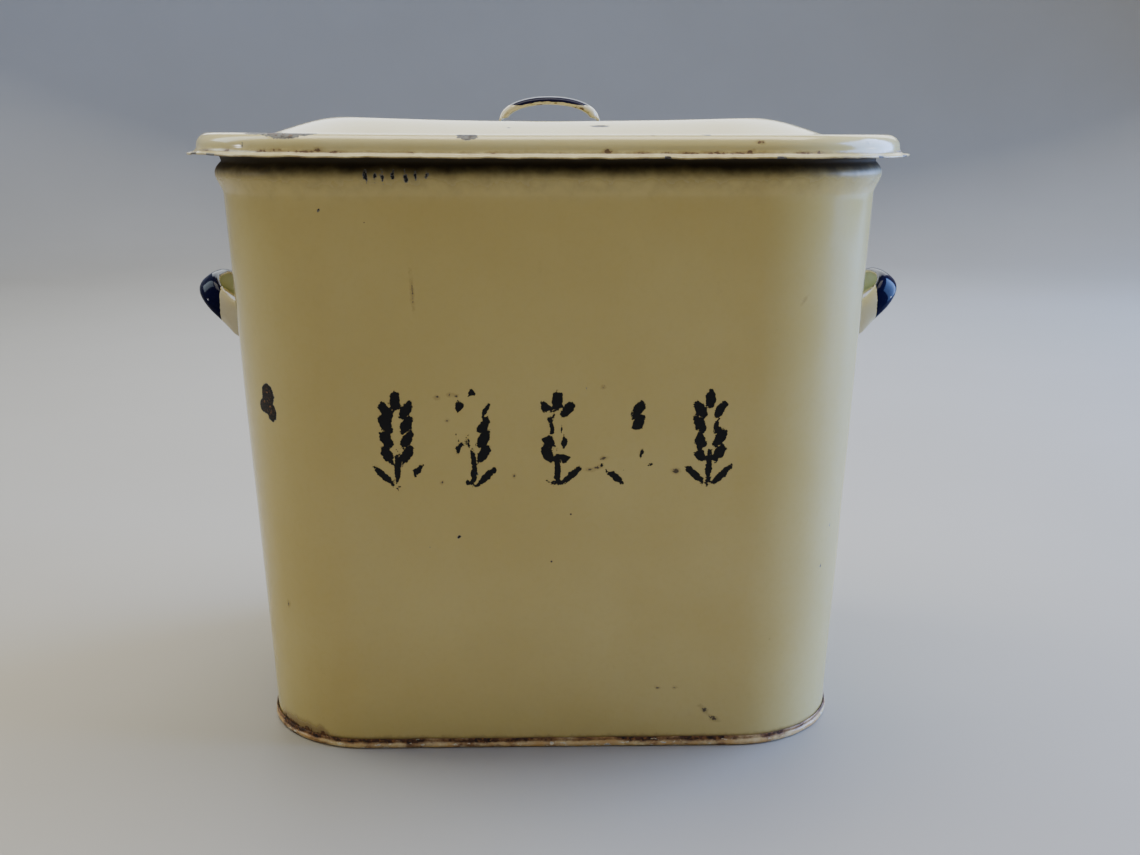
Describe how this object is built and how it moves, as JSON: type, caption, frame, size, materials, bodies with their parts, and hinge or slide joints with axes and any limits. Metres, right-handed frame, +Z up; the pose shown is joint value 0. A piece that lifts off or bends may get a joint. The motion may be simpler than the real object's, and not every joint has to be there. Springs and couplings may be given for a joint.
{
  "type": "enamelled steel bread bin with lift-off lid",
  "caption": "Tapered rounded-rectangular enamelled steel bread bin with a lift-off pressed lid, a strap lid handle and strap side handles, worn and rusted at the foot.",
  "frame": {"origin": "centre of the footprint, on the surface the bin stands on", "axes": "+Z up through the lid, +X along the long side to the right as seen from the front, front faces -Y"},
  "size_m": [0.39, 0.2762, 0.3315],
  "materials": {
    "cream_enamel": "glossy vitreous enamel, yellowed, with chips, stains and fine scratches",
    "navy_enamel": "glossy dark navy enamel, cream on the inner face and at the roots, worn through at the edges",
    "rusted_hem": "cream enamel largely chipped off a folded steel hem, with dark rust",
    "enamelled_rivet": "glossy enamel over a steel rivet head, rusty round its edge",
    "iron_wire": "plain drawn iron wire, dull"
  },
  "bodies": {
    "bin": {"body_wall": "cream_enamel", "base_pan": "rusted_hem", "rim_wire": "iron_wire", "side_handle_left": "navy_enamel", "side_handle_right": "navy_enamel", "side_handle_left_rivet_front_lower": "enamelled_rivet", "side_handle_left_rivet_front_upper": "enamelled_rivet", "side_handle_left_rivet_rear_lower": "enamelled_rivet", "side_handle_left_rivet_rear_upper": "enamelled_rivet", "side_handle_right_rivet_front_lower": "enamelled_rivet", "side_handle_right_rivet_front_upper": "enamelled_rivet", "side_handle_right_rivet_rear_lower": "enamelled_rivet", "side_handle_right_rivet_rear_upper": "enamelled_rivet"},
    "lid": {"lid_shell": "cream_enamel", "lid_handle": "navy_enamel", "lid_handle_rivet_left_front": "enamelled_rivet", "lid_handle_rivet_left_rear": "enamelled_rivet", "lid_handle_rivet_right_front": "enamelled_rivet", "lid_handle_rivet_right_rear": "enamelled_rivet"}
  },
  "joints": [
    {"name": "lid_lift", "type": "slide", "parent": "bin", "child": "lid", "axis": [0, 0, 1], "range_m": [0, 0.14]}
  ]
}
